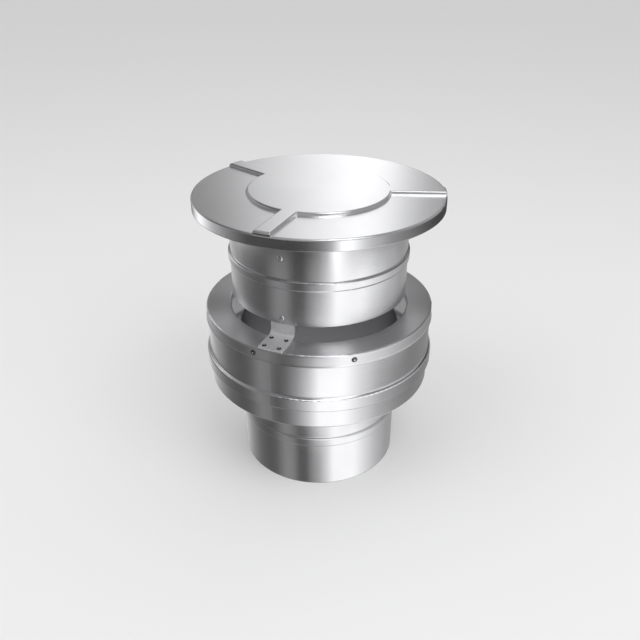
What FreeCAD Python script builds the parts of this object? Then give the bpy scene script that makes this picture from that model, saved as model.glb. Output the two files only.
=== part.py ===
"""Flue terminal cap in folded and rolled stainless sheet.

Millimetres, +Z up. The origin is the centre of the spigot's open lower end.
Azimuths are measured from the front, which faces -Y, and grow towards +X.
"""
import FreeCAD, Part
import math
import os
import Sketcher
from FreeCAD import Placement, Rotation, Vector

SIZES = {
    # Sheet metal
    "sheet_thickness": 0.8,      # tubes, rings and lid
    "strap_thickness": 1.5,      # the brackets' strip
    "bend_radius": 0.8,          # inside radius of a folded edge
    "press_radius": 0.4,         # inside radius of a pressed or rolled edge
    "bead_draft": 0.7,           # how far a bead's side spreads to its foot
    "slip_fit": 0.1,             # radial play between nested sheets
    # Spigot tube, the end that goes into a 150 mm flue
    "spigot_radius": 74.5,
    "spigot_drop": 89.4,         # from its open end to the drum's underside
    "spigot_rise": 52.0,         # how far it stands up inside the drum
    "spigot_bead_height": 49.8,
    "spigot_bead_width": 9.6,
    "spigot_bead_rise": 1.3,
    # Drum
    "drum_radius": 103.8,
    "drum_height": 73.0,
    "drum_bead_height": 24.4,    # above the drum's underside
    "drum_bead_width": 12.9,
    "drum_bead_rise": 2.8,
    "drum_lip": 4.5,             # width of the shell's turned-in lower edge
    "collar_height": 14.0,       # base ring's collar round the spigot tube
    "base_flange_height": 12.0,
    "drain_radius": 3.5,
    "drain_inset": 12.0,         # from the drum's outside to the holes' centres
    "drain_count": 6,
    # Top ring, the drum's shoulder
    "opening_radius": 81.5,
    "opening_lip": 5.0,
    "ring_flange_height": 10.9,
    "ring_kick": 0.7,            # how far the flange's lower edge flares out
    "ring_kick_height": 1.4,
    "ring_rivet_height": 5.3,    # below the shoulder
    "ring_rivet_left_azimuth": -31.4,
    "ring_rivet_right_azimuth": 16.1,
    "ring_rivet_repeats": 3,
    # Sleeve
    "inlet_gap": 13.2,           # between the shoulder and the sleeve
    "sleeve_radius": 79.9,
    "sleeve_height": 71.9,
    "sleeve_bead_height": 37.0,  # above the sleeve's lower edge
    "sleeve_bead_width": 8.8,
    "sleeve_bead_rise": 1.6,
    # Lid
    "lid_radius": 110.0,
    "lid_rise": 19.1,            # lid's flat top above the sleeve
    "skirt_height": 9.8,
    "crown_radius": 62.0,
    "crown_rise": 2.7,
    "emboss_draft": 1.0,         # how far a raised side spreads to its foot
    "rib_width": 13.4,
    "rib_spread": 110.0,         # degrees from the front rib to the one on each side
    "rib_end_radius": 2.0,       # rounding where a rib meets the rim
    "rib_end_setback": 0.3,
    "hem_height": 5.0,           # skirt's lower edge, folded back on its inside
    # Brackets
    "bracket_azimuth": -23.0,
    "lower_bracket_count": 2,
    "lower_bracket_width": 22.0,
    "foot_length": 25.0,
    "foot_bend_radius": 5.0,
    "leg_overlap": 12.0,         # leg's length inside the sleeve
    "leg_rivet_height": 4.8,     # above the sleeve's lower edge
    "foot_rivet_inner": 2.2,     # from the end of the bend to the first row
    "foot_rivet_rows": 13.6,     # pitch, outwards
    "foot_rivet_pitch": 13.6,    # pitch, across
    "foot_corner": 1.5,
    "upper_bracket_width": 10.0,
    "upper_bracket_setback": 12.1,   # its arm's end from the lid's rim
    "upper_leg_overlap": 20.0,
    "upper_rivet_drop": 12.4,    # below the sleeve's upper edge
    # Blind rivets
    "rivet_head_radius": 2.5,
    "rivet_head_height": 1.0,
    "rivet_shank_radius": 1.6,
    "rivet_eye_radius": 0.8,
    "rivet_eye_depth": 0.7,
    "rivet_tail_radius": 2.2,
    "rivet_tail_length": 2.6,
    "foot_rivet_head_radius": 1.9,
    "foot_rivet_head_height": 0.8,
    "foot_rivet_shank_radius": 1.2,
    "foot_rivet_tail_radius": 1.6,
    "rivet_play": 0.05,
}

# Heights and radii that several pieces share, in words of the sizes above.
BEND = "(Sizes.bend_radius + Sizes.sheet_thickness)"
DRUM_BOTTOM = "Sizes.spigot_drop"
SHOULDER = "(Sizes.spigot_drop + Sizes.drum_height)"
SHOULDER_UNDER = f"({SHOULDER} - Sizes.sheet_thickness)"
SPIGOT_TOP = "(Sizes.spigot_drop + Sizes.spigot_rise)"
SPIGOT_INNER = "(Sizes.spigot_radius - Sizes.sheet_thickness)"
DRUM_INNER = "(Sizes.drum_radius - Sizes.sheet_thickness)"
RING_RADIUS = "(Sizes.drum_radius + Sizes.slip_fit + Sizes.sheet_thickness)"
SLEEVE_BOTTOM = f"({SHOULDER} + Sizes.inlet_gap)"
SLEEVE_TOP = f"({SLEEVE_BOTTOM} + Sizes.sleeve_height)"
SLEEVE_INNER = "(Sizes.sleeve_radius - Sizes.sheet_thickness)"
LID_TOP = f"({SLEEVE_TOP} + Sizes.lid_rise)"
LEG_OUTER = f"({SLEEVE_INNER} - Sizes.slip_fit)"
LEG_INNER = f"({LEG_OUTER} - Sizes.strap_thickness)"
LEG_RIVET = f"({SLEEVE_BOTTOM} + Sizes.leg_rivet_height)"
FOOT_TOP = f"({SHOULDER} + Sizes.strap_thickness)"
RING_RIVET = f"({SHOULDER} - Sizes.ring_rivet_height)"
UPPER_RIVET = f"({SLEEVE_TOP} - Sizes.upper_rivet_drop)"
UPPER_LEG_OUTER = (
    f"(sqrt({SLEEVE_INNER}^2 - (Sizes.upper_bracket_width / 2)^2) - Sizes.slip_fit)"
)
UPPER_LEG_INNER = f"({UPPER_LEG_OUTER} - Sizes.strap_thickness)"
BRACKET_TURN = "Sizes.bracket_azimuth - 90"
# The ribs, each with a bracket under it, counted from the front one
RIB_TURNS = ("0", "Sizes.rib_spread", "0 - Sizes.rib_spread")

FULL_TURN = 360.0
HALF_TURN = 180.0    # enough for a strap, whose sides are cut afterwards

doc = FreeCAD.newDocument("flue_terminal_cap")


def make_sheet():
    """Puts the driving sizes into a sheet, one named cell each."""
    sheet = doc.addObject("Spreadsheet::Sheet", "Sizes")
    for row, (name, value) in enumerate(SIZES.items(), start=1):
        sheet.set(f"A{row}", name)
        sheet.set(f"B{row}", str(value))
        sheet.setAlias(f"B{row}", name)
    doc.recompute()
    return sheet


sheet = make_sheet()


def measure(words):
    """The number that an expression in words of the sheet comes to."""
    return float(sheet.evalExpression(words))


def count_of(name):
    return int(measure(f"Sizes.{name}"))


def bind(sketch, constraint, words):
    index = sketch.addConstraint(constraint)
    sketch.setExpression(f"Constraints[{index}]", words)


def place_point(sketch, edge, end, x_words, y_words):
    """Ties one end of an edge to a place given in words of the sheet."""
    if x_words == "0":
        sketch.addConstraint(Sketcher.Constraint("PointOnObject", edge, end, -2))
    else:
        bind(sketch, Sketcher.Constraint("DistanceX", -1, 1, edge, end, measure(x_words)), x_words)
    if y_words == "0":
        sketch.addConstraint(Sketcher.Constraint("PointOnObject", edge, end, -1))
    else:
        bind(sketch, Sketcher.Constraint("DistanceY", -1, 1, edge, end, measure(y_words)), y_words)


def arc_between(start, end, radius, side):
    """A minor arc that bulges to the right of its chord (side 1) or to its left (side -1)."""
    chord = end - start
    half = chord.Length / 2
    across = Vector(-chord.y, chord.x, 0).normalize() * side
    centre = start + chord / 2 + across * math.sqrt(max(radius * radius - half * half, 0))
    first, last = (start, end) if side > 0 else (end, start)
    begin = math.atan2(first.y - centre.y, first.x - centre.x)
    finish = math.atan2(last.y - centre.y, last.x - centre.x)
    return Part.ArcOfCircle(Part.Circle(centre, Vector(0, 0, 1), radius), begin, finish)


def draw_outline(sketch, corners):
    """Draws a closed outline.

    A corner is (x, y) where a straight edge ends, or (x, y, radius, side) where an arc ends.
    """
    points = [Vector(measure(c[0]), measure(c[1]), 0) for c in corners]
    edges = []
    for number, corner in enumerate(corners):
        start = points[number - 1]
        end = points[number]
        if len(corner) == 2:
            edge = sketch.addGeometry(Part.LineSegment(start, end), False)
            ends = (1, 2)
        else:
            radius_words, side = corner[2:]
            arc = arc_between(start, end, measure(radius_words), side)
            edge = sketch.addGeometry(arc, False)
            ends = (1, 2) if side > 0 else (2, 1)
            bind(sketch, Sketcher.Constraint("Radius", edge, measure(radius_words)), radius_words)
        edges.append((edge, ends))
        place_point(sketch, edge, ends[1], corner[0], corner[1])
    for number, (edge, ends) in enumerate(edges):
        before, before_ends = edges[number - 1]
        sketch.addConstraint(
            Sketcher.Constraint("Coincident", before, before_ends[1], edge, ends[0])
        )


def draw_circle(sketch, x_words, y_words, radius_words):
    centre = Vector(measure(x_words), measure(y_words), 0)
    circle = Part.Circle(centre, Vector(0, 0, 1), measure(radius_words))
    edge = sketch.addGeometry(circle, False)
    bind(sketch, Sketcher.Constraint("Radius", edge, measure(radius_words)), radius_words)
    place_point(sketch, edge, 3, x_words, y_words)


def new_body(label, turn_words=None):
    """A sheet-metal piece of its own, turned about the upright axis."""
    body = doc.addObject("PartDesign::Body", label)
    body.Label = label
    if turn_words:
        body.Placement = Placement(Vector(), Rotation(Vector(0, 0, 1), measure(turn_words)))
        body.setExpression("Placement.Rotation.Angle", turn_words)
    return body


def origin_part(body, role):
    return next(f for f in body.Origin.OriginFeatures if f.Role == role)


def new_sketch(body, name, plane, turn_words=None, shift_words=None):
    """A sketch on one of the body's origin planes, turned about Z or shifted along its normal."""
    sketch = body.newObject("Sketcher::SketchObject", name)
    sketch.AttachmentSupport = [(origin_part(body, plane), "")]
    sketch.MapMode = "FlatFace"
    if turn_words:
        turn = Rotation(Vector(0, 1, 0), measure(turn_words))
        sketch.AttachmentOffset = Placement(Vector(), turn)
        sketch.setExpression("AttachmentOffset.Rotation.Angle", turn_words)
    if shift_words:
        sketch.AttachmentOffset = Placement(Vector(0, 0, measure(shift_words)), Rotation())
        sketch.setExpression("AttachmentOffset.Base.z", shift_words)
    return sketch


def revolve(body, name, corners, angle=FULL_TURN):
    """Turns an outline of radius and height about the upright axis."""
    sketch = new_sketch(body, f"{name}_section", "XZ_Plane")
    draw_outline(sketch, corners)
    feature = body.newObject("PartDesign::Revolution", name)
    feature.Profile = sketch
    feature.ReferenceAxis = (sketch, ["V_Axis"])
    feature.Angle = angle
    feature.Midplane = angle < FULL_TURN
    doc.recompute()
    return feature


def cut_through(body, name, sketch, length_words=None):
    """Cuts a sketch through the body along the sketch's normal, and sees that metal came off."""
    before = body.Tip.Shape.Volume
    pocket = body.newObject("PartDesign::Pocket", name)
    pocket.Profile = sketch
    pocket.Reversed = True
    if length_words:
        pocket.Type = "Length"
        pocket.setExpression("Length", length_words)
    else:
        pocket.Type = "ThroughAll"
    doc.recompute()
    if pocket.Shape.Volume >= before:
        raise ValueError(f"{name} cuts nothing off {body.Label}")
    return pocket


def repeat_round(body, name, features, count_words):
    """Repeats features evenly round the upright axis."""
    if measure(count_words) < 2:
        return
    pattern = body.newObject("PartDesign::PolarPattern", name)
    pattern.Originals = features
    pattern.Axis = (origin_part(body, "Z_Axis"), [""])
    pattern.Angle = FULL_TURN
    pattern.setExpression("Occurrences", count_words)
    body.Tip = pattern
    doc.recompute()


def drill_wall(body, name, height_words, radius_words, reach_words, count_words, turn_words=None):
    """Round holes through an upright wall, drilled outwards from the axis."""
    sketch = new_sketch(body, f"{name}_circle", "YZ_Plane", turn_words)
    draw_circle(sketch, "0", height_words, radius_words)
    pocket = cut_through(body, name, sketch, reach_words)
    repeat_round(body, f"{name}_round", [pocket], count_words)


def raised_side(rise, draft, wall):
    """Words for a raised side of the sheet, whose arc joins it to the top of the raised form.

    wall is how deep in the sheet the outline lies. The words are the side's shift for that
    depth, the arc's radius, how far its ends lie from the corner along the top and along the
    side's foot, and how far the arc's lower end lies below the top.
    """
    slope = f"({draft} / {rise})"
    slant = f"sqrt(1 + {slope}^2)"
    shift = f"({wall} * ({slant} - {slope}))"
    radius = f"(Sizes.press_radius + Sizes.sheet_thickness - {wall})"
    along = f"({radius} / ({slant} + {slope}))"
    aside = f"({along} * {slope} / {slant})"
    drop = f"({along} / {slant})"
    return shift, radius, along, aside, drop


def bead_side(wall_radius, middle, width, rise, depth, direction):
    """One face of a bead, a flat band with sloping sides, upwards (1) or downwards (-1)."""
    shift, radius, along, aside, drop = raised_side(rise, "Sizes.bead_draft", depth)
    foot = f"({width} / 2 - {shift})"
    edge = f"({foot} - Sizes.bead_draft)"
    band = f"{wall_radius} + {rise}"
    low, high = ("-", "+") if direction > 0 else ("+", "-")
    return [
        (wall_radius, f"{middle} {low} {foot}"),
        (f"{band} - {drop}", f"{middle} {low} {edge} {low} {aside}"),
        (band, f"{middle} {low} {edge} {high} {along}", radius, direction),
        (band, f"{middle} {high} {edge} {low} {along}"),
        (f"{band} - {drop}", f"{middle} {high} {edge} {high} {aside}", radius, direction),
        (wall_radius, f"{middle} {high} {foot}"),
    ]


def beaded_tube(inner, outer, bottom, top, middle, width_name, rise_name):
    """Section of a rolled tube whose wall steps outwards in one bead."""
    width = f"Sizes.{width_name}"
    rise = f"Sizes.{rise_name}"
    return [
        (inner, bottom),
        (outer, bottom),
        *bead_side(outer, middle, width, rise, "0", 1),
        (outer, top),
        (inner, top),
        *bead_side(inner, middle, width, rise, "Sizes.sheet_thickness", -1),
    ]


def make_spigot_tube():
    body = new_body("spigot_tube")
    section = beaded_tube(
        SPIGOT_INNER, "Sizes.spigot_radius", "0", SPIGOT_TOP,
        "Sizes.spigot_bead_height", "spigot_bead_width", "spigot_bead_rise",
    )
    revolve(body, "spigot_wall", section)
    return body


def make_drum_shell():
    """Rolled shell whose lower edge is turned in under the base ring."""
    body = new_body("drum_shell", BRACKET_TURN)
    bead = f"({DRUM_BOTTOM} + Sizes.drum_bead_height)"
    top = f"({SHOULDER_UNDER} - Sizes.bend_radius)"
    lip_end = "(Sizes.drum_radius - Sizes.drum_lip)"
    lip_top = f"({DRUM_BOTTOM} + Sizes.sheet_thickness)"
    section = beaded_tube(
        DRUM_INNER, "Sizes.drum_radius", f"{DRUM_BOTTOM} + {BEND}", top,
        bead, "drum_bead_width", "drum_bead_rise",
    )
    inner_start = section.pop(0)
    outer_start = section.pop(0)
    section += [
        inner_start,
        (f"Sizes.drum_radius - {BEND}", lip_top, "Sizes.bend_radius", -1),
        (lip_end, lip_top),
        (lip_end, DRUM_BOTTOM),
        (f"Sizes.drum_radius - {BEND}", DRUM_BOTTOM),
        (outer_start[0], outer_start[1], BEND, 1),
    ]
    revolve(body, "shell_wall", section)
    drill_ring_rivets(body, "shell")
    return body


def drill_ring_rivets(body, name):
    """The ring's rivet holes, at the same places in the shell and in the ring's flange."""
    for side in ("left", "right"):
        drill_wall(
            body, f"{name}_rivet_hole_{side}", RING_RIVET,
            "Sizes.rivet_shank_radius + Sizes.rivet_play",
            f"{RING_RADIUS} + Sizes.rivet_head_radius", "Sizes.ring_rivet_repeats",
            f"Sizes.ring_rivet_{side}_azimuth - Sizes.bracket_azimuth",
        )


def make_base_ring():
    """Closes the drum's underside: a collar on the spigot tube and a flange inside the shell."""
    body = new_body("base_ring")
    under = f"({DRUM_BOTTOM} + Sizes.sheet_thickness)"
    over = f"({under} + Sizes.sheet_thickness)"
    collar = "(Sizes.spigot_radius + Sizes.slip_fit)"
    collar_outer = f"({collar} + Sizes.sheet_thickness)"
    collar_top = f"({under} + Sizes.collar_height)"
    flange = f"({DRUM_INNER} - Sizes.slip_fit)"
    flange_inner = f"({flange} - Sizes.sheet_thickness)"
    flange_top = f"({under} + Sizes.base_flange_height)"
    revolve(body, "base_plate", [
        (f"{flange} - {BEND}", under),
        (flange, f"{under} + {BEND}", BEND, 1),
        (flange, flange_top),
        (flange_inner, flange_top),
        (flange_inner, f"{over} + Sizes.bend_radius"),
        (f"{flange_inner} - Sizes.bend_radius", over, "Sizes.bend_radius", -1),
        (f"{collar_outer} + Sizes.bend_radius", over),
        (collar_outer, f"{over} + Sizes.bend_radius", "Sizes.bend_radius", -1),
        (collar_outer, collar_top),
        (collar, collar_top),
        (collar, f"{under} + {BEND}"),
        (f"{collar} + {BEND}", under, BEND, 1),
    ])
    sketch = new_sketch(body, "drain_circle", "XY_Plane")
    draw_circle(sketch, "Sizes.drum_radius - Sizes.drain_inset", "0", "Sizes.drain_radius")
    drain = cut_through(body, "drain_hole", sketch)
    repeat_round(body, "drain_holes", [drain], "Sizes.drain_count")
    return body


def foot_rivet_places():
    """The rows and sides of the four rivets in a foot."""
    first = f"({LEG_OUTER} + Sizes.foot_bend_radius + Sizes.foot_rivet_inner)"
    for row in (0, 1):
        for side in (-1, 1):
            yield f"{first} + {row} * Sizes.foot_rivet_rows", f"{side} * Sizes.foot_rivet_pitch / 2"


def drill_foot(body, name):
    sketch = new_sketch(body, f"{name}_circles", "XY_Plane")
    for distance, across in foot_rivet_places():
        draw_circle(sketch, distance, across, "Sizes.foot_rivet_shank_radius + Sizes.rivet_play")
    return cut_through(body, name, sketch)


def make_top_ring():
    """The drum's shoulder: flat ring, lip turned down at the opening, flange over the shell."""
    body = new_body("top_ring", BRACKET_TURN)
    flange_bottom = f"({SHOULDER} - Sizes.ring_flange_height)"
    flange_inner = f"({RING_RADIUS} - Sizes.sheet_thickness)"
    lip_bottom = f"({SHOULDER} - Sizes.opening_lip)"
    lip_outer = "(Sizes.opening_radius + Sizes.sheet_thickness)"
    revolve(body, "ring_plate", [
        (RING_RADIUS, f"{SHOULDER} - {BEND}"),
        (f"{RING_RADIUS} - {BEND}", SHOULDER, BEND, 1),
        (f"Sizes.opening_radius + {BEND}", SHOULDER),
        ("Sizes.opening_radius", f"{SHOULDER} - {BEND}", BEND, 1),
        ("Sizes.opening_radius", lip_bottom),
        (lip_outer, lip_bottom),
        (lip_outer, f"{SHOULDER_UNDER} - Sizes.bend_radius"),
        (f"{lip_outer} + Sizes.bend_radius", SHOULDER_UNDER, "Sizes.bend_radius", -1),
        (f"{flange_inner} - Sizes.bend_radius", SHOULDER_UNDER),
        (flange_inner, f"{SHOULDER_UNDER} - Sizes.bend_radius", "Sizes.bend_radius", -1),
        (flange_inner, f"{flange_bottom} + Sizes.ring_kick_height"),
        (f"{flange_inner} + Sizes.ring_kick", flange_bottom),
        (f"{RING_RADIUS} + Sizes.ring_kick", flange_bottom),
        (RING_RADIUS, f"{flange_bottom} + Sizes.ring_kick_height"),
    ])
    holes = drill_foot(body, "ring_foot_holes")
    repeat_round(body, "ring_foot_holes_round", [holes], "Sizes.lower_bracket_count")
    drill_ring_rivets(body, "ring")
    return body


def make_sleeve():
    body = new_body("sleeve", BRACKET_TURN)
    section = beaded_tube(
        SLEEVE_INNER, "Sizes.sleeve_radius", SLEEVE_BOTTOM, SLEEVE_TOP,
        f"({SLEEVE_BOTTOM} + Sizes.sleeve_bead_height)", "sleeve_bead_width", "sleeve_bead_rise",
    )
    revolve(body, "sleeve_wall", section)
    hole = "Sizes.rivet_shank_radius + Sizes.rivet_play"
    reach = "Sizes.sleeve_radius + Sizes.rivet_head_radius"
    drill_wall(body, "leg_rivet_hole", LEG_RIVET, hole, reach, "Sizes.lower_bracket_count")
    for number, turn in enumerate(RIB_TURNS, start=1):
        drill_wall(body, f"upper_rivet_hole_{number}", UPPER_RIVET, hole, reach, "1", turn)
    return body


def make_lower_bracket(number):
    """Bent strap: foot on the shoulder, leg rolled to the sleeve's curve."""
    turn = f"{BRACKET_TURN} + {number} * 360 / Sizes.lower_bracket_count"
    body = new_body(f"lower_bracket_{number + 1}", turn)
    concave = "Sizes.foot_bend_radius"
    convex = "(Sizes.foot_bend_radius + Sizes.strap_thickness)"
    bend = f"({LEG_OUTER} + {concave})"
    foot_end = f"({LEG_OUTER} + Sizes.foot_length)"
    leg_top = f"({SLEEVE_BOTTOM} + Sizes.leg_overlap)"
    half_width = "Sizes.lower_bracket_width / 2"
    revolve(body, "strap", [
        (foot_end, SHOULDER),
        (foot_end, FOOT_TOP),
        (bend, FOOT_TOP),
        (LEG_OUTER, f"{FOOT_TOP} + {concave}", concave, -1),
        (LEG_OUTER, leg_top),
        (LEG_INNER, leg_top),
        (LEG_INNER, f"{SHOULDER} + {convex}"),
        (bend, SHOULDER, convex, 1),
    ], angle=HALF_TURN)
    beyond = f"({foot_end} + Sizes.foot_length)"
    inside = f"({LEG_INNER} / 2)"
    corner = "Sizes.foot_corner"
    sketch = new_sketch(body, "strap_plan", "XY_Plane")
    draw_outline(sketch, [
        ("0 - Sizes.foot_length", f"-{beyond}"),
        (beyond, f"-{beyond}"),
        (beyond, beyond),
        ("0 - Sizes.foot_length", beyond),
    ])
    draw_outline(sketch, [
        (inside, f"-{half_width}"),
        (f"{foot_end} - {corner}", f"-{half_width}"),
        (foot_end, f"-{half_width} + {corner}", corner, 1),
        (foot_end, f"{half_width} - {corner}"),
        (f"{foot_end} - {corner}", half_width, corner, 1),
        (inside, half_width),
    ])
    cut_through(body, "strap_sides", sketch)
    drill_foot(body, "foot_holes")
    drill_wall(
        body, "leg_hole", LEG_RIVET, "Sizes.rivet_shank_radius + Sizes.rivet_play",
        f"{LEG_OUTER} + Sizes.rivet_tail_radius", "1",
    )
    return body


def make_upper_bracket(number, turn):
    """Bent strap that carries the lid: leg inside the sleeve, arm nested under a rib."""
    body = new_body(f"upper_bracket_{number}", f"{BRACKET_TURN} + {turn}")
    concave = "Sizes.foot_bend_radius"
    convex = "(Sizes.foot_bend_radius + Sizes.strap_thickness)"
    arm_top = f"({LID_TOP} + Sizes.crown_rise - Sizes.sheet_thickness)"
    arm_under = f"({arm_top} - Sizes.strap_thickness)"
    arm_end = "(Sizes.lid_radius - Sizes.upper_bracket_setback)"
    leg_bottom = f"({SLEEVE_TOP} - Sizes.upper_leg_overlap)"
    sketch = new_sketch(body, "strap_section", "XZ_Plane")
    draw_outline(sketch, [
        (UPPER_LEG_INNER, leg_bottom),
        (UPPER_LEG_OUTER, leg_bottom),
        (UPPER_LEG_OUTER, f"{arm_under} - {concave}"),
        (f"{UPPER_LEG_OUTER} + {concave}", arm_under, concave, -1),
        (arm_end, arm_under),
        (arm_end, arm_top),
        (f"{UPPER_LEG_OUTER} + {concave}", arm_top),
        (UPPER_LEG_INNER, f"{arm_under} - {concave}", convex, 1),
    ])
    strap = body.newObject("PartDesign::Pad", "strap")
    strap.Profile = sketch
    strap.SideType = "Symmetric"
    strap.setExpression("Length", "Sizes.upper_bracket_width")
    doc.recompute()
    drill_wall(
        body, "leg_hole", UPPER_RIVET, "Sizes.rivet_shank_radius + Sizes.rivet_play",
        f"{UPPER_LEG_OUTER} + Sizes.rivet_tail_radius", "1",
    )
    return body


def rivet_outline(seat, tail_seat, line, kind, upright):
    """Half section of a blind rivet about its own axis, from the tail to the domed head.

    seat and tail_seat are where head and tail bear, and line is where the rivet's axis lies.
    """
    play = "Sizes.rivet_play"
    shank = f"{line} + Sizes.{kind}_shank_radius"
    head = f"{line} + Sizes.{kind}_head_radius"
    tail = f"{line} + Sizes.{kind}_tail_radius"
    eye = f"{line} + Sizes.rivet_eye_radius"
    crown = f"{seat} + Sizes.{kind}_head_height"
    tail_end = f"{tail_seat} - Sizes.rivet_tail_length"
    span = f"(Sizes.{kind}_head_radius - Sizes.rivet_eye_radius)"
    height = f"Sizes.{kind}_head_height"
    dome = f"(({span}^2 + {height}^2) / (2 * {height}))"
    side = -1 if upright else 1
    steps = [
        (tail_end, line),
        (tail_end, shank),
        (f"{tail_seat} - {play} - Sizes.rivet_tail_length / 2", tail),
        (f"{tail_seat} - {play}", tail),
        (f"{tail_seat} - {play}", shank),
        (seat, shank),
        (seat, head),
        (crown, eye, dome, -side),
        (f"{crown} - Sizes.rivet_eye_depth", eye),
        (f"{crown} - Sizes.rivet_eye_depth", line),
    ]
    if upright:
        return [(step[1], step[0]) + step[2:] for step in steps]
    return steps


def turn_rivet(body, name, seat, tail_seat, line, kind="rivet", upright=False, **placing):
    """One rivet as a turned solid, lying outwards or standing upright."""
    sketch = new_sketch(body, f"{name}_section", "XZ_Plane", **placing)
    draw_outline(sketch, rivet_outline(seat, tail_seat, line, kind, upright))
    reach = measure(seat)
    across = measure(line)
    if upright:
        axis = Part.LineSegment(Vector(across, 0, 0), Vector(across, reach, 0))
    else:
        axis = Part.LineSegment(Vector(0, across, 0), Vector(reach, across, 0))
    edge = sketch.addGeometry(axis, True)
    ends = (("0", line), (seat, line))
    for end, (along, side) in enumerate(ends, start=1):
        place = (side, along) if upright else (along, side)
        place_point(sketch, edge, end, *place)
    feature = body.newObject("PartDesign::Revolution", name)
    feature.Profile = sketch
    feature.ReferenceAxis = (sketch, ["Axis0"])
    feature.Angle = FULL_TURN
    doc.recompute()
    return feature


def make_leg_rivets():
    body = new_body("leg_rivets", BRACKET_TURN)
    rivet = turn_rivet(body, "leg_rivet", "Sizes.sleeve_radius", LEG_INNER, LEG_RIVET)
    repeat_round(body, "leg_rivets_round", [rivet], "Sizes.lower_bracket_count")
    return body


def make_upper_rivets():
    body = new_body("upper_bracket_rivets", BRACKET_TURN)
    for number, turn in enumerate(RIB_TURNS, start=1):
        turn_rivet(
            body, f"upper_rivet_{number}", "Sizes.sleeve_radius", UPPER_LEG_INNER, UPPER_RIVET,
            turn_words=turn,
        )
    return body


def make_ring_rivets():
    body = new_body("ring_rivets", BRACKET_TURN)
    rivets = [
        turn_rivet(
            body, f"ring_rivet_{side}", RING_RADIUS, DRUM_INNER, RING_RIVET,
            turn_words=f"Sizes.ring_rivet_{side}_azimuth - Sizes.bracket_azimuth",
        )
        for side in ("left", "right")
    ]
    repeat_round(body, "ring_rivets_round", rivets, "Sizes.ring_rivet_repeats")
    return body


def make_foot_rivets():
    body = new_body("foot_rivets", BRACKET_TURN)
    rivets = [
        turn_rivet(
            body, f"foot_rivet_{number}", FOOT_TOP, SHOULDER_UNDER, distance,
            kind="foot_rivet", upright=True, shift_words=across,
        )
        for number, (distance, across) in enumerate(foot_rivet_places(), start=1)
    ]
    repeat_round(body, "foot_rivets_round", rivets, "Sizes.lower_bracket_count")
    return body


def turned_form(name, corners):
    """A solid of revolution for the lid's pressing."""
    sketch = doc.addObject("Sketcher::SketchObject", f"{name}_section")
    sketch.Placement = Placement(Vector(), Rotation(Vector(1, 0, 0), 90))
    draw_outline(sketch, corners)
    form = doc.addObject("Part::Revolution", name)
    form.Source = sketch
    form.Axis = Vector(0, 0, 1)
    form.Angle = FULL_TURN
    form.Solid = True
    return form


def rib_bar(name, turn, corners):
    """A straight bar with sloping sides, from the axis outwards past the rim."""
    sketch = doc.addObject("Sketcher::SketchObject", f"{name}_section")
    sketch.Placement = Placement(Vector(), Rotation(Vector(1, 1, 1), 120))
    draw_outline(sketch, corners)
    bar = doc.addObject("Part::Extrusion", name)
    bar.Base = sketch
    bar.DirMode = "Normal"
    bar.setExpression("LengthFwd", "Sizes.lid_radius")
    bar.Solid = True
    bar.Placement = Placement(Vector(), Rotation(Vector(0, 0, 1), measure(turn)))
    bar.setExpression("Placement.Rotation.Angle", turn)
    return bar


def pressed_form(name, inset):
    """The lid's outside (inset 0) or the inside of its sheet (inset 1) as a solid form."""
    wall = f"({inset} * Sizes.sheet_thickness)"
    draft = "Sizes.emboss_draft"
    shift, radius, along, aside, drop = raised_side("Sizes.crown_rise", draft, wall)
    skirt = f"(Sizes.lid_radius - {wall})"
    hem = f"(Sizes.lid_radius - 2 * {wall})"
    top = f"({LID_TOP} - {wall})"
    crown_top = f"({top} + Sizes.crown_rise)"
    bottom = f"({LID_TOP} - Sizes.skirt_height)"
    hem_top = f"({bottom} + Sizes.hem_height)"
    bend = f"({BEND} - {wall})"
    crown = f"(Sizes.crown_radius - {shift})"
    skirt_side = [(skirt, bottom)]
    if inset:
        skirt_side = [(hem, bottom), (hem, hem_top), (skirt, hem_top)]
    plate = turned_form(f"{name}_plate", [
        ("0", bottom),
        *skirt_side,
        (skirt, f"{top} - {bend}"),
        (f"{skirt} - {bend}", top, bend, 1),
        (f"{crown} + {draft}", top),
        (f"{crown} + {aside}", f"{crown_top} - {drop}"),
        (f"{crown} - {along}", crown_top, radius, 1),
        ("0", crown_top),
    ])
    low = f"({top} - {bend})"
    end_radius = f"(Sizes.rib_end_radius - {wall})"
    rib_end = f"({skirt} - Sizes.rib_end_setback)"
    envelope = turned_form(f"{name}_rib_limit", [
        ("0", low),
        (rib_end, low),
        (rib_end, f"{crown_top} - {end_radius}"),
        (f"{rib_end} - {end_radius}", crown_top, end_radius, 1),
        ("0", crown_top),
    ])
    half_top = f"(Sizes.rib_width / 2 - {shift})"
    half_low = f"({half_top} + {draft} * ({crown_top} - {low}) / Sizes.crown_rise)"
    section = [
        (f"-{half_low}", low),
        (half_low, low),
        (f"{half_top} + {aside}", f"{crown_top} - {drop}"),
        (f"{half_top} - {along}", crown_top, radius, 1),
        (f"-{half_top} + {along}", crown_top),
        (f"-{half_top} - {aside}", f"{crown_top} - {drop}", radius, 1),
    ]
    bars = [
        rib_bar(f"{name}_rib_{number}", turn, section)
        for number, turn in enumerate(RIB_TURNS, start=1)
    ]
    ribs = doc.addObject("Part::MultiFuse", f"{name}_ribs")
    ribs.Shapes = bars
    trimmed = doc.addObject("Part::Common", f"{name}_ribs_trimmed")
    trimmed.Base = envelope
    trimmed.Tool = ribs
    form = doc.addObject("Part::Fuse", f"{name}_form")
    form.Base = plate
    form.Tool = trimmed
    return form


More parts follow.
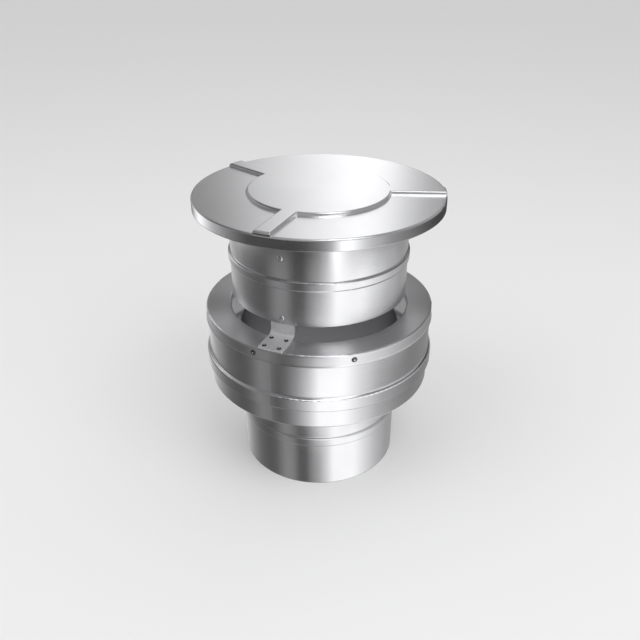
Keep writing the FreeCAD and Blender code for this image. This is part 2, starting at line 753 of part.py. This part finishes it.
def make_lid():
    """One pressing: skirt, flat, raised crown and raised ribs out to the rim."""
    outside = pressed_form("lid_outside", 0)
    inside = pressed_form("lid_inside", 1)
    lid = doc.addObject("Part::Cut", "lid")
    lid.Base = outside
    lid.Tool = inside
    lid.Label = "lid"
    lid.Placement = Placement(Vector(), Rotation(Vector(0, 0, 1), measure(BRACKET_TURN)))
    lid.setExpression("Placement.Rotation.Angle", BRACKET_TURN)
    doc.recompute()
    return lid


def make_pieces():
    pieces = [
        make_spigot_tube(),
        make_base_ring(),
        make_drum_shell(),
        make_top_ring(),
        make_ring_rivets(),
        make_sleeve(),
    ]
    pieces += [make_lower_bracket(number) for number in range(count_of("lower_bracket_count"))]
    pieces += [make_foot_rivets(), make_leg_rivets()]
    pieces += [make_upper_bracket(number, turn) for number, turn in enumerate(RIB_TURNS, start=1)]
    pieces += [make_upper_rivets(), make_lid()]
    return pieces


def check_document(pieces):
    """Stops before anything is written if an object failed or a piece isn't sound."""
    for item in doc.Objects:
        if "Invalid" in item.State or "Error" in item.State:
            raise ValueError(f"{item.Name} failed: {item.State}")
    for piece in pieces:
        shape = piece.Shape
        if shape.isNull() or not shape.isValid() or not shape.Solids:
            raise ValueError(f"{piece.Label} has no sound solid")


def write_pieces(pieces):
    os.makedirs("parts", exist_ok=True)
    for piece in pieces:
        piece.Shape.exportStep(f"parts/{piece.Label}.step")
        box = piece.Shape.BoundBox
        print(
            f"{piece.Label}: {len(piece.Shape.Solids)} solid(s), "
            f"{piece.Shape.Volume / 1000:.2f} cm3, z {box.ZMin:.2f} to {box.ZMax:.2f}"
        )


doc.recompute()
pieces = make_pieces()
doc.recompute()
check_document(pieces)
write_pieces(pieces)
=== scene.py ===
"""Flue terminal cap in bright stainless sheet, on a pale studio floor. Metres, +Z up."""
import math

import bpy
from mathutils import Matrix, Vector


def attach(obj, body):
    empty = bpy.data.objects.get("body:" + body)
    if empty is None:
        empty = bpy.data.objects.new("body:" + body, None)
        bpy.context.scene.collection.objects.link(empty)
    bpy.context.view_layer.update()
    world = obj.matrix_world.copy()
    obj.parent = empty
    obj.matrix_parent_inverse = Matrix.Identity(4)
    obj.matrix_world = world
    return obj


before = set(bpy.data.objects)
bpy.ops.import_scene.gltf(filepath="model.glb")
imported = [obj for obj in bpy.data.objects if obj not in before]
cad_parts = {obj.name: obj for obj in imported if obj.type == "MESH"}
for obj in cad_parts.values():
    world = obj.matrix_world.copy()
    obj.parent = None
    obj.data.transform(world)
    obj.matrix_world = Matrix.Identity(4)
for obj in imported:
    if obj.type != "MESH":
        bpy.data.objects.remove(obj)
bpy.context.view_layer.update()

MM = 0.001

# Camera: the photograph's viewpoint, for a square picture of 640 pixels
PICTURE_PX = 640
FOCAL_PX = 700
SENSOR_MM = 36.0
CAMERA_ELEVATION = math.radians(29.5)
CAMERA_DISTANCE = 669 * MM
CAMERA_ASIDE = 0.86 * MM
AIM_HEIGHT = 137.4 * MM
CLIP_NEAR = 0.01
CLIP_FAR = 50


def add_camera():
    data = bpy.data.cameras.new("studio_camera")
    data.sensor_width = SENSOR_MM
    data.lens = SENSOR_MM * FOCAL_PX / PICTURE_PX
    data.clip_start = CLIP_NEAR
    data.clip_end = CLIP_FAR
    camera = bpy.data.objects.new("studio_camera", data)
    bpy.context.scene.collection.objects.link(camera)
    back = Vector((0, -math.cos(CAMERA_ELEVATION), math.sin(CAMERA_ELEVATION)))
    camera.location = Vector((CAMERA_ASIDE, 0, AIM_HEIGHT)) + back * CAMERA_DISTANCE
    camera.rotation_euler = (math.pi / 2 - CAMERA_ELEVATION, 0, 0)
    bpy.context.scene.camera = camera


add_camera()


def linear(hex_colour):
    """An sRGB hex colour as the linear values that a shader takes."""
    channels = []
    for start in (1, 3, 5):
        value = int(hex_colour[start:start + 2], 16) / 255
        channels.append(value / 12.92 if value <= 0.04045 else ((value + 0.055) / 1.055) ** 2.4)
    return (*channels, 1.0)


def add_node(tree, kind, settings=None, links=None):
    """Adds a shader node. Settings are its properties or sockets, links are socket: output."""
    node = tree.nodes.new(kind)
    for name, value in (settings or {}).items():
        if isinstance(name, str) and hasattr(node, name):
            setattr(node, name, value)
        else:
            node.inputs[name].default_value = value
    for name, output in (links or {}).items():
        tree.links.new(output, node.inputs[name])
    return node


def remap(tree, value, source, target):
    """An output that runs over the target range as the value runs over the source range."""
    node = add_node(
        tree, "ShaderNodeMapRange",
        {"From Min": source[0], "From Max": source[1], "To Min": target[0], "To Max": target[1]},
        {"Value": value},
    )
    return node.outputs["Result"]


def new_material(name):
    material = bpy.data.materials.new(name)
    material.use_nodes = True
    material.node_tree.nodes.clear()
    return material, material.node_tree


def finish_steel(tree, settings, links):
    """The metal's shader and the material's output."""
    steel = add_node(tree, "ShaderNodeBsdfPrincipled", settings, links)
    add_node(tree, "ShaderNodeOutputMaterial", {}, {"Surface": steel.outputs["BSDF"]})


# The range that a noise mostly keeps to
NOISE_RANGE = (0.3, 0.7)

# Polish lines: their drawn width, how far they wander round the piece, and what they change
POLISH_GRAIN = 0.6 * MM
POLISH_WANDER = 1.5
POLISH_DETAIL = 2.0
POLISH_GLOSS = 0.02
POLISH_TONES = (0.98, 1.0)
POLISH_RELIEF = {"Strength": 0.05, "Distance": 0.01 * MM}

# Haze left by handling, in patches per metre, and the noise range over which it comes up
HAZE_SCALE = 28.0
HAZE_DETAIL = 3.0
HAZE_RANGE = (0.45, 0.75)

# Reach over which normals are blended. The mesh's triangles show as bright dashes on small bends,
# and blending makes them fainter. The welds are too narrow for the sheet's reach.
SHEET_BLEND = 1.0 * MM
WELD_BLEND = 0.05 * MM
BLEND_SAMPLES = 12


def stainless(name, colour, roughness, spread, haze=0.05, blend=SHEET_BLEND):
    """Bright stainless sheet, polished round its axis.

    The polish lines run round the piece, so reflections smear across them: upright on a wall and
    outwards on a flat. Their real width of some hundredths of a millimetre is too fine to show, so
    they are drawn as wide as POLISH_GRAIN, and handling leaves a soft haze in patches of a few
    centimetres.
    """
    material, tree = new_material(name)
    place = add_node(tree, "ShaderNodeTexCoord").outputs["Object"]
    blended = add_node(
        tree, "ShaderNodeBevel", {"samples": BLEND_SAMPLES, "Radius": blend},
    ).outputs["Normal"]
    round_way = add_node(
        tree, "ShaderNodeVectorMath", {"operation": "CROSS_PRODUCT", 0: (0, 0, 1)}, {1: place},
    )
    across_grain = add_node(
        tree, "ShaderNodeVectorMath", {"operation": "CROSS_PRODUCT"},
        {0: blended, 1: round_way.outputs["Vector"]},
    )
    outwards = add_node(
        tree, "ShaderNodeVectorMath", {"operation": "MULTIPLY", 1: (1, 1, 0)}, {0: place},
    )
    radius = add_node(
        tree, "ShaderNodeVectorMath", {"operation": "LENGTH"}, {0: outwards.outputs["Vector"]},
    )
    heading = add_node(
        tree, "ShaderNodeVectorMath", {"operation": "NORMALIZE"}, {0: outwards.outputs["Vector"]},
    )
    along = add_node(
        tree, "ShaderNodeVectorMath",
        {"operation": "MULTIPLY", 1: (POLISH_WANDER, POLISH_WANDER, 0)},
        {0: heading.outputs["Vector"]},
    )
    height = add_node(tree, "ShaderNodeSeparateXYZ", {}, {"Vector": place})
    run = add_node(
        tree, "ShaderNodeMath", {"operation": "ADD"},
        {0: radius.outputs["Value"], 1: height.outputs["Z"]},
    )
    lines = add_node(
        tree, "ShaderNodeMath", {"operation": "MULTIPLY", 1: 1 / POLISH_GRAIN},
        {0: run.outputs["Value"]},
    )
    line_place = add_node(tree, "ShaderNodeCombineXYZ", {}, {"Z": lines.outputs["Value"]})
    polish_place = add_node(
        tree, "ShaderNodeVectorMath", {"operation": "ADD"},
        {0: along.outputs["Vector"], 1: line_place.outputs["Vector"]},
    )
    polish = add_node(
        tree, "ShaderNodeTexNoise", {"Scale": 1.0, "Detail": POLISH_DETAIL},
        {"Vector": polish_place.outputs["Vector"]},
    ).outputs["Fac"]
    patches = add_node(
        tree, "ShaderNodeTexNoise", {"Scale": HAZE_SCALE, "Detail": HAZE_DETAIL},
        {"Vector": place},
    ).outputs["Fac"]
    gloss = add_node(
        tree, "ShaderNodeMath", {"operation": "ADD"},
        {
            0: remap(
                tree, polish, NOISE_RANGE, (roughness - POLISH_GLOSS, roughness + POLISH_GLOSS),
            ),
            1: remap(tree, patches, HAZE_RANGE, (0, haze)),
        },
    )
    metal_colour = add_node(
        tree, "ShaderNodeVectorMath", {"operation": "SCALE", 0: linear(colour)[:3]},
        {"Scale": remap(tree, polish, NOISE_RANGE, POLISH_TONES)},
    )
    relief = add_node(tree, "ShaderNodeBump", POLISH_RELIEF, {"Height": polish, "Normal": blended})
    finish_steel(
        tree, {"Metallic": 1.0, "Anisotropic": spread},
        {"Base Color": metal_colour.outputs["Vector"], "Roughness": gloss.outputs["Value"],
         "Normal": relief.outputs["Normal"], "Tangent": across_grain.outputs["Vector"]},
    )
    return material


# Mottling of steel without polish lines, and what it changes
MOTTLE_DETAIL = 3.0
MOTTLE_GLOSS = (-0.05, 0.07)
MOTTLE_TONES = (1.0, 0.9)
MOTTLE_RELIEF = {"Strength": 0.1, "Distance": 0.02 * MM}


def plain_steel(name, colour, roughness, mottle, metallic=1.0):
    """Steel with no polish lines, such as strip or a rivet: fine mottling as large as mottle."""
    material, tree = new_material(name)
    place = add_node(tree, "ShaderNodeTexCoord")
    grains = add_node(
        tree, "ShaderNodeTexNoise", {"Scale": 1 / mottle, "Detail": MOTTLE_DETAIL},
        {"Vector": place.outputs["Object"]},
    ).outputs["Fac"]
    gloss = remap(tree, grains, NOISE_RANGE, [roughness + change for change in MOTTLE_GLOSS])
    metal_colour = add_node(
        tree, "ShaderNodeVectorMath", {"operation": "SCALE", 0: linear(colour)[:3]},
        {"Scale": remap(tree, grains, NOISE_RANGE, MOTTLE_TONES)},
    )
    relief = add_node(tree, "ShaderNodeBump", MOTTLE_RELIEF, {"Height": grains})
    finish_steel(
        tree, {"Metallic": metallic},
        {"Base Color": metal_colour.outputs["Vector"], "Roughness": gloss,
         "Normal": relief.outputs["Normal"]},
    )
    return material


def dress(nodes, material):
    for node in nodes:
        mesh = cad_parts[node].data
        mesh.materials.clear()
        mesh.materials.append(material)


# Bright-annealed sheet, polished and then rolled to a tube: clear bands, drawn out upright
rolled_sheet = stainless("rolled_stainless_sheet", "#dedee0", 0.19, 0.85)
# The lid's pressing, buffed all over: soft and nearly even reflections
buffed_sheet = stainless("buffed_stainless_sheet", "#dedee0", 0.23, 0.35, haze=0.03)
# The shoulder's pressing, left satin: reflections drawn far outwards
satin_sheet = stainless("satin_stainless_sheet", "#dedee0", 0.32, 0.97)
# Welds ground flush and polished over: a faint, slightly lighter line
dressed_weld = stainless("dressed_weld", "#e1e1e0", 0.2, 0.8, blend=WELD_BLEND)
# Strip pickled after it was cut and bent: pale and dull, with a little scattered light
pickled_strip = plain_steel("pickled_stainless_strip", "#dcdcde", 0.4, 1.6 * MM, metallic=0.6)
# Rivets as they are bought: bright, zinc-plated and chemically blackened
bright_rivet_steel = plain_steel("bright_rivet_steel", "#d8d8da", 0.3, 0.6 * MM)
plated_rivet_steel = plain_steel("zinc_plated_rivet_steel", "#68686c", 0.36, 0.6 * MM)
black_rivet_steel = plain_steel("blackened_rivet_steel", "#3c3c3e", 0.38, 0.6 * MM)
# Snapped wire: pale and grainy where it broke
stem_steel = plain_steel("snapped_stem_steel", "#ececee", 0.45, 0.4 * MM, metallic=0.8)

dress(["spigot_tube", "base_ring", "drum_shell", "sleeve"], rolled_sheet)
dress(["top_ring"], satin_sheet)
dress(["lid"], buffed_sheet)
dress(
    ["lower_bracket_1", "lower_bracket_2", "upper_bracket_1", "upper_bracket_2",
     "upper_bracket_3"],
    pickled_strip,
)
dress(["leg_rivets", "upper_bracket_rivets"], bright_rivet_steel)
dress(["ring_rivets"], plated_rivet_steel)
dress(["foot_rivets"], black_rivet_steel)


def upright_way(azimuth):
    """The direction outwards at an azimuth counted from the front, towards +X."""
    turn = math.radians(azimuth)
    return Vector((math.sin(turn), -math.cos(turn), 0))


def keep_piece(piece, material):
    piece.data.materials.clear()
    piece.data.materials.append(material)
    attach(piece, "root")


# A face whose normal rises more than this looks up
FACING_UP = 0.9
BEVEL_SEGMENTS = 2


def edit_top(piece):
    """Goes into edit mode with only the piece's upward faces selected."""
    bpy.ops.object.mode_set(mode="EDIT")
    bpy.ops.mesh.select_all(action="DESELECT")
    bpy.ops.object.mode_set(mode="OBJECT")
    for face in piece.data.polygons:
        face.select = face.normal.z > FACING_UP
    bpy.ops.object.mode_set(mode="EDIT")


def round_edges(piece, name, width, smooth_below):
    """Bevels the active piece and shades it smooth where it bends less than some degrees."""
    edge = piece.modifiers.new(name, "BEVEL")
    edge.width = width
    edge.segments = BEVEL_SEGMENTS
    bpy.ops.object.modifier_apply(modifier=edge.name)
    bpy.ops.object.shade_smooth_by_angle(angle=math.radians(smooth_below))


# Broken stems that blind rivets keep in their eyes
STEM_SIDES = 20
STEM_RADIUS = 0.62 * MM
STEM_LENGTH = 0.75 * MM
STEM_RIM = STEM_RADIUS * 0.35
STEM_CUP = 0.2 * MM
STEM_CUP_TAPER = 0.6
STEM_BEVEL = 0.08 * MM
STEM_SMOOTH_BELOW = 40


def turned_stem():
    """One stem, standing on the origin, its end hollowed where it snapped."""
    bpy.ops.object.select_all(action="DESELECT")
    bpy.ops.mesh.primitive_cylinder_add(
        vertices=STEM_SIDES, radius=STEM_RADIUS, depth=STEM_LENGTH,
        location=(0, 0, STEM_LENGTH / 2),
    )
    stem = bpy.context.object
    bpy.ops.object.transform_apply(location=True)
    edit_top(stem)
    bpy.ops.mesh.inset(thickness=STEM_RIM)
    bpy.ops.mesh.extrude_region_move(TRANSFORM_OT_translate={"value": (0, 0, -STEM_CUP)})
    bpy.ops.transform.resize(value=(STEM_CUP_TAPER, STEM_CUP_TAPER, 1))
    bpy.ops.object.mode_set(mode="OBJECT")
    round_edges(stem, "worn_edge", STEM_BEVEL, STEM_SMOOTH_BELOW)
    return stem


def set_stems(name, pattern, seats):
    """A stem in each rivet's eye: seats are the eye's floor and the way that the rivet faces."""
    stems = []
    for floor, way in seats:
        stem = bpy.data.objects.new(name, pattern.data.copy())
        bpy.context.scene.collection.objects.link(stem)
        turn = way.to_track_quat("Z", "Y").to_matrix().to_4x4()
        stem.data.transform(Matrix.Translation(floor) @ turn)
        stems.append(stem)
    bpy.ops.object.select_all(action="DESELECT")
    for stem in stems:
        stem.select_set(True)
    bpy.context.view_layer.objects.active = stems[0]
    bpy.ops.object.join()
    stems[0].name = name
    keep_piece(stems[0], stem_steel)


# Where the rivets' eyes end, as the CAD has them: azimuths, eye floor's radius and height
BRACKET_AZIMUTH = -23.0
RIB_SPREAD = 110.0
RING_RIVETS = (-31.4, 16.1)
RING_EYE = (105.0 * MM, 157.1 * MM)
LEG_EYE = (80.2 * MM, 180.4 * MM)
UPPER_EYE = (80.2 * MM, 235.1 * MM)
FOOT_ROWS = (86.2 * MM, 99.8 * MM)
FOOT_SIDE = 6.8 * MM
FOOT_EYE_HEIGHT = 164.0 * MM


def lying_seats(azimuths, eye):
    radius, height = eye
    return [
        (upright_way(azimuth) * radius + Vector((0, 0, height)), upright_way(azimuth))
        for azimuth in azimuths
    ]


def foot_seats():
    seats = []
    for azimuth in (BRACKET_AZIMUTH, BRACKET_AZIMUTH + 180):
        outwards = upright_way(azimuth)
        across = upright_way(azimuth + 90)
        for row in FOOT_ROWS:
            for side in (-FOOT_SIDE, FOOT_SIDE):
                floor = outwards * row + across * side + Vector((0, 0, FOOT_EYE_HEIGHT))
                seats.append((floor, Vector((0, 0, 1))))
    return seats


pattern_stem = turned_stem()
set_stems(
    "ring_rivet_stems", pattern_stem,
    lying_seats([start + third for start in RING_RIVETS for third in (0, 120, 240)], RING_EYE),
)
set_stems(
    "leg_rivet_stems", pattern_stem,
    lying_seats([BRACKET_AZIMUTH, BRACKET_AZIMUTH + 180], LEG_EYE),
)
set_stems(
    "upper_rivet_stems", pattern_stem,
    lying_seats([BRACKET_AZIMUTH + turn for turn in (0, RIB_SPREAD, -RIB_SPREAD)], UPPER_EYE),
)
set_stems("foot_rivet_stems", pattern_stem, foot_seats())
bpy.data.objects.remove(pattern_stem)


# Welds down the rolled tubes: width, how far each stands out of the wall and into it
WELD_WIDTH = 0.9 * MM
WELD_PROUD = 0.02 * MM
WELD_DEPTH = 0.12 * MM
WELD_BEVEL = WELD_PROUD * 0.8
WELD_SMOOTH_BELOW = 15
# Height over which a tube's bead rises and falls
BEAD_DRAFT = 0.7 * MM
# Each weld's azimuth, its tube's outside, its ends' heights, and the bead that it follows
SEAMS = {
    "sleeve_weld": {
        "azimuth": 18.5, "radius": 79.9 * MM, "bottom": 175.6 * MM, "top": 247.5 * MM,
        "bead_middle": 212.6 * MM, "bead_width": 8.8 * MM, "bead_rise": 1.6 * MM,
    },
    "drum_weld": {
        "azimuth": 170.0, "radius": 103.8 * MM, "bottom": 91.2 * MM, "top": 151.3 * MM,
        "bead_middle": 113.8 * MM, "bead_width": 12.9 * MM, "bead_rise": 2.8 * MM,
    },
    "spigot_weld": {
        "azimuth": 170.0, "radius": 74.5 * MM, "bottom": 0.1 * MM, "top": 89.3 * MM,
        "bead_middle": 49.8 * MM, "bead_width": 9.6 * MM, "bead_rise": 1.3 * MM,
    },
}


def run_seam(name, azimuth, radius, bottom, top, bead_middle, bead_width, bead_rise):
    """A weld up a tube's outside, which follows the tube's bead."""
    bpy.ops.object.select_all(action="DESELECT")
    bpy.ops.mesh.primitive_cube_add(size=1, location=(0, 0, 0))
    seam = bpy.context.object
    seam.name = name
    foot = bead_middle - bead_width / 2
    bpy.ops.object.mode_set(mode="EDIT")
    bpy.ops.mesh.select_all(action="SELECT")
    bpy.ops.transform.resize(value=(WELD_PROUD + WELD_DEPTH, WELD_WIDTH, foot - bottom))
    bpy.ops.transform.translate(
        value=(radius + (WELD_PROUD - WELD_DEPTH) / 2, 0, (foot + bottom) / 2),
    )
    edit_top(seam)
    climb = (
        (bead_rise, BEAD_DRAFT), (0, bead_width - 2 * BEAD_DRAFT), (-bead_rise, BEAD_DRAFT),
        (0, top - foot - bead_width),
    )
    for out, up in climb:
        bpy.ops.mesh.extrude_region_move(TRANSFORM_OT_translate={"value": (out, 0, up)})
    bpy.ops.object.mode_set(mode="OBJECT")
    round_edges(seam, "weld_crown", WELD_BEVEL, WELD_SMOOTH_BELOW)
    seam.rotation_euler = (0, 0, math.radians(azimuth - 90))
    bpy.ops.object.transform_apply(rotation=True)
    keep_piece(seam, dressed_weld)


for seam_name, seam_measures in SEAMS.items():
    run_seam(seam_name, **seam_measures)


FLOOR_COLOUR = "#f2f2f2"
FLOOR_ROUGHNESS = 0.9
FLOOR_SIZE = 14
LID_HEIGHT = 266 * MM


def add_floor():
    bpy.ops.mesh.primitive_plane_add(size=FLOOR_SIZE)
    floor = bpy.context.object
    floor.name = "studio_floor"
    material, tree = new_material("pale_paper")
    paper = add_node(
        tree, "ShaderNodeBsdfPrincipled",
        {"Base Color": linear(FLOOR_COLOUR), "Roughness": FLOOR_ROUGHNESS},
    )
    add_node(tree, "ShaderNodeOutputMaterial", {}, {"Surface": paper.outputs["BSDF"]})
    floor.data.materials.append(material)
    floor.visible_glossy = False


def hide_from_all_but_gloss(cloth):
    cloth.visible_camera = False
    cloth.visible_diffuse = False
    cloth.visible_shadow = False
    cloth.visible_transmission = False


def glowing(name, bright):
    """Evenly glowing cloth or card."""
    material, tree = new_material(name)
    glow = add_node(tree, "ShaderNodeEmission", {"Strength": bright})
    add_node(tree, "ShaderNodeOutputMaterial", {}, {"Surface": glow.outputs["Emission"]})
    return material


def shade_cloth(tree, share, stops):
    """Glowing cloth whose brightness follows stops: shares of the way across it, from 0 to 1."""
    ramp = add_node(tree, "ShaderNodeValToRGB", {}, {"Fac": share})
    elements = ramp.color_ramp.elements
    elements.remove(elements[-1])
    for number, (along, bright) in enumerate(stops):
        stop = elements[0] if number == 0 else elements.new(along)
        stop.position = along
        stop.color = (bright, bright, bright, 1)
    cloth = add_node(tree, "ShaderNodeEmission", {}, {"Color": ramp.outputs["Color"]})
    add_node(tree, "ShaderNodeOutputMaterial", {}, {"Surface": cloth.outputs["Emission"]})


# Cloth of the studio tent round the part: azimuth from the front in degrees, towards +X, and the
# cloth's brightness there. All were set so that the bands fall about where the photograph has
# them. The plain and the drum's cloth are dark to the left with one grey stripe, bright at the
# front right and grey behind.
PLAIN_CLOTH = [
    (-180, 0.7), (-150, 0.8), (-125, 0.55), (-106, 0.34), (-87, 0.17), (-69, 0.11), (-58, 0.12),
    (-43, 0.3), (-34, 0.29), (-24, 0.11), (-16, 0.11), (-8, 0.3), (0, 0.46), (9, 0.85),
    (18, 1.35), (45, 1.4), (60, 1.05), (78, 0.7), (106, 0.43), (125, 0.4), (150, 0.5), (180, 0.7),
]
DRUM_CLOTH = [
    (-180, 0.7), (-140, 1.0), (-119, 0.65), (-101, 0.4), (-82, 0.17), (-66, 0.11), (-57, 0.13),
    (-45, 0.28), (-39, 0.24), (-31, 0.11), (-24, 0.2), (-16, 0.42), (-8, 0.8), (0, 1.4),
    (18, 1.4), (32, 0.9), (48, 0.48), (65, 0.32), (82, 0.25), (120, 0.3), (150, 0.5), (180, 0.7),
]
# The skirt's cloth is dark apart from a bright stripe at the left and a narrower one in front
SKIRT_CLOTH = [
    (-180, 0.1), (-136, 0.08), (-118, 0.3), (-99, 1.5), (-81, 0.62), (-64, 0.3), (-47, 0.08),
    (-16, 0.06), (-8, 0.08), (0, 0.2), (8, 0.5), (16, 1.9), (23, 1.2), (31, 0.7), (47, 0.32),
    (64, 0.2), (81, 0.1), (99, 0.06), (180, 0.1),
]
# Each tier of the tent: the heights of its foot and head, and its cloth. The metal looks down at
# it, so the lowest tier hangs below the floor, which reflections leave out.
TENT_SIDES = 128
TENT_RADIUS = 200 * MM
TENT_TIERS = {
    "spigot_tent": (-180 * MM, -22 * MM, PLAIN_CLOTH),
    "drum_tent": (-22 * MM, 107 * MM, DRUM_CLOTH),
    "sleeve_tent": (107 * MM, 183 * MM, PLAIN_CLOTH),
    "skirt_tent": (183 * MM, 262 * MM, SKIRT_CLOTH),
}


def tent_cloth(name, stripes):
    material, tree = new_material(name)
    place = add_node(tree, "ShaderNodeTexCoord")
    parts = add_node(tree, "ShaderNodeSeparateXYZ", {}, {"Vector": place.outputs["Object"]})
    minus_y = add_node(
        tree, "ShaderNodeMath", {"operation": "MULTIPLY", 1: -1}, {0: parts.outputs["Y"]},
    )
    turn = add_node(
        tree, "ShaderNodeMath", {"operation": "ARCTAN2"},
        {0: parts.outputs["X"], 1: minus_y.outputs["Value"]},
    )
    share = remap(tree, turn.outputs["Value"], (-math.pi, math.pi), (0, 1))
    shade_cloth(tree, share, [((azimuth + 180) / 360, bright) for azimuth, bright in stripes])
    return material


def add_tent():
    """Striped cloth round the part, which only its reflections see."""
    for name, (bottom, top, stripes) in TENT_TIERS.items():
        bpy.ops.mesh.primitive_cylinder_add(
            vertices=TENT_SIDES, radius=TENT_RADIUS, depth=top - bottom,
            end_fill_type="NOTHING", location=(0, 0, (top + bottom) / 2),
        )
        tier = bpy.context.object
        tier.name = name
        tier.data.materials.append(tent_cloth(f"{name}_cloth", stripes))
        hide_from_all_but_gloss(tier)


# Grey cards inside the part, which light its hollows a little: radius, hole, height, brightness
CARD_SIDES = 48
INNER_CARDS = {
    "flue_card": (73 * MM, 0, 0.3 * MM, 0.2),
    "chamber_card": (101 * MM, 77 * MM, 108 * MM, 0.4),
}


def add_inner_card(name, radius, hole, height, bright):
    """A card that only reflections see. A hole makes it a ring."""
    bpy.ops.object.select_all(action="DESELECT")
    bpy.ops.mesh.primitive_circle_add(
        vertices=CARD_SIDES, radius=radius, fill_type="NGON", location=(0, 0, height),
    )
    card = bpy.context.object
    card.name = name
    if hole:
        bpy.ops.object.mode_set(mode="EDIT")
        bpy.ops.mesh.select_all(action="SELECT")
        bpy.ops.mesh.inset(thickness=radius - hole)
        bpy.ops.mesh.delete(type="FACE")
        bpy.ops.object.mode_set(mode="OBJECT")
    card.data.materials.append(glowing(f"{name}_grey", bright))
    hide_from_all_but_gloss(card)


# The cloth behind the part, which the lid mirrors: millimetres from its middle, and brightness
BACK_CLOTH = [
    (-500, 0.25), (-280, 0.32), (-215, 0.45), (-150, 0.72), (-50, 1.0), (50, 1.35), (100, 1.5),
    (165, 1.3), (212, 0.8), (275, 0.4), (500, 0.3),
]
BACK_WIDTH = 1000 * MM
BACK_PLACE = (0, 1.0, 0.75)


def add_back_cloth():
    bpy.ops.mesh.primitive_plane_add(size=BACK_WIDTH, location=BACK_PLACE)
    back = bpy.context.object
    back.name = "back_cloth"
    back.rotation_euler = (math.pi / 2, 0, 0)
    material, tree = new_material("graded_cloth")
    place = add_node(tree, "ShaderNodeTexCoord")
    parts = add_node(tree, "ShaderNodeSeparateXYZ", {}, {"Vector": place.outputs["Object"]})
    share = remap(tree, parts.outputs["X"], (-BACK_WIDTH / 2, BACK_WIDTH / 2), (0, 1))
    shade_cloth(tree, share, [(x * MM / BACK_WIDTH + 0.5, bright) for x, bright in BACK_CLOTH])
    back.data.materials.append(material)
    hide_from_all_but_gloss(back)


# Cloths that only reflections see, all facing the lid: middle, width, height and brightness. The
# flag is dark, and the high panel is there for the front of the shoulder.
PANELS = {
    "front_panel": ((0.6, -1.0, 1.5), 0.9, 1.8, 1.3),
    "high_panel": ((0.35, -0.75, 1.7), 0.8, 0.8, 3.0),
    "left_flag": ((-1.3, -0.1, 0.95), 1.7, 0.8, 0.06),
    "top_panel": ((0.2, 0.15, 2.3), 1.1, 0.8, 1.0),
}


def add_panel(name, place, wide, tall, bright):
    bpy.ops.mesh.primitive_plane_add(size=1, location=place)
    panel = bpy.context.object
    panel.name = name
    facing = Vector((0, 0, LID_HEIGHT)) - Vector(place)
    panel.rotation_euler = facing.to_track_quat("Z", "Y").to_euler()
    panel.scale = (wide, tall, 1)
    panel.data.materials.append(glowing(f"{name}_cloth", bright))
    hide_from_all_but_gloss(panel)


# Strength of the air light, for the floor and in the metal's reflections
AIR_ON_FLOOR = 0.72
AIR_IN_METAL = 0.38


def add_world():
    """Even air light: full for the floor, dimmer in the metal's reflections.

    The camera sees it as bright as the far floor, so that little of a horizon shows.
    """
    world = bpy.data.worlds.new("studio_air")
    world.use_nodes = True
    tree = world.node_tree
    background = tree.nodes["Background"]
    background.inputs["Color"].default_value = (1, 1, 1, 1)
    ray = add_node(tree, "ShaderNodeLightPath")
    in_metal = remap(
        tree, ray.outputs["Is Glossy Ray"], (0, 1), (AIR_ON_FLOOR, AIR_IN_METAL),
    )
    level = add_node(
        tree, "ShaderNodeMapRange",
        {"From Min": 0, "From Max": 1, "To Max": AIR_ON_FLOOR * linear(FLOOR_COLOUR)[0]},
        {"Value": ray.outputs["Is Camera Ray"], "To Min": in_metal},
    )
    tree.links.new(level.outputs["Result"], background.inputs["Strength"])
    bpy.context.scene.world = world


# Two square softboxes, which light the floor and the duller pieces: azimuth and power in watts
SOFTBOX_DISTANCE = 1.2
SOFTBOX_HEIGHT = 1.6
SOFTBOX_SIDE = 1.2
SOFTBOXES = {"key_softbox": (38, 9), "fill_softbox": (-60, 5)}


def add_softbox(name, azimuth, power):
    data = bpy.data.lights.new(name, "AREA")
    data.shape = "RECTANGLE"
    data.size = SOFTBOX_SIDE
    data.size_y = SOFTBOX_SIDE
    data.energy = power
    lamp = bpy.data.objects.new(name, data)
    bpy.context.scene.collection.objects.link(lamp)
    lamp.location = upright_way(azimuth) * SOFTBOX_DISTANCE + Vector((0, 0, SOFTBOX_HEIGHT))
    aim = Vector((0, 0, AIM_HEIGHT)) - lamp.location
    lamp.rotation_euler = aim.to_track_quat("-Z", "Y").to_euler()
    lamp.visible_glossy = False


# Metal mirrors metal in the gaps, so reflections are followed this far
GLOSSY_BOUNCES = 12

add_floor()
add_tent()
for card_name, card_measures in INNER_CARDS.items():
    add_inner_card(card_name, *card_measures)
add_back_cloth()
for panel_name, panel_measures in PANELS.items():
    add_panel(panel_name, *panel_measures)
add_world()
for softbox_name, (softbox_azimuth, softbox_power) in SOFTBOXES.items():
    add_softbox(softbox_name, softbox_azimuth, softbox_power)
bpy.context.scene.cycles.glossy_bounces = GLOSSY_BOUNCES
bpy.context.scene.view_settings.view_transform = "Standard"
